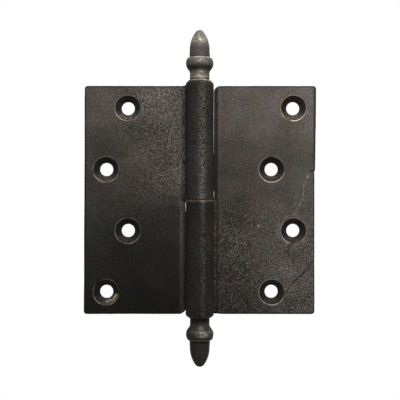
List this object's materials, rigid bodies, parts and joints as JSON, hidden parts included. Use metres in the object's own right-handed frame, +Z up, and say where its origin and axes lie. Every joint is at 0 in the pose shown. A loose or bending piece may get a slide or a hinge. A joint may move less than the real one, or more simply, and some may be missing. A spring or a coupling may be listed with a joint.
{
  "type": "lift-off butt hinge",
  "caption": "Cast iron lift-off butt hinge, opened flat: square countersunk leaves, a plain pin the upper leaf swings on and lifts off, and turned acorn tips.",
  "frame": {"origin": "on the pin's axis, in the plane where the two knuckles meet", "axes": "+Z up along the pin, the way the upper leaf lifts off; +Y out of the leaves' backs; the upper leaf lies to -X and the lower leaf to +X, with the hinge opened flat"},
  "size_m": [0.1165, 0.014, 0.1681],
  "materials": {
    "cast_iron": "blackened sand casting with worn edges",
    "turned_tip": "turned and blackened, rubbed bright on its rims",
    "pin_steel": "drawn steel with a brown skin of rust"
  },
  "bodies": {
    "lower_half": {"lower_leaf": "cast_iron", "lower_finial": "turned_tip"},
    "pin": {"hinge_pin": "pin_steel"},
    "upper_half": {"upper_leaf": "cast_iron", "upper_finial": "turned_tip"}
  },
  "joints": [
    {"name": "swing", "type": "hinge", "parent": "lower_half", "child": "pin", "pos_m": [0, 0, 0], "axis": [0, 0, 1], "range_deg": [-90, 180]},
    {"name": "lift", "type": "slide", "parent": "pin", "child": "upper_half", "axis": [0, 0, 1], "range_m": [0, 0.046]}
  ]
}
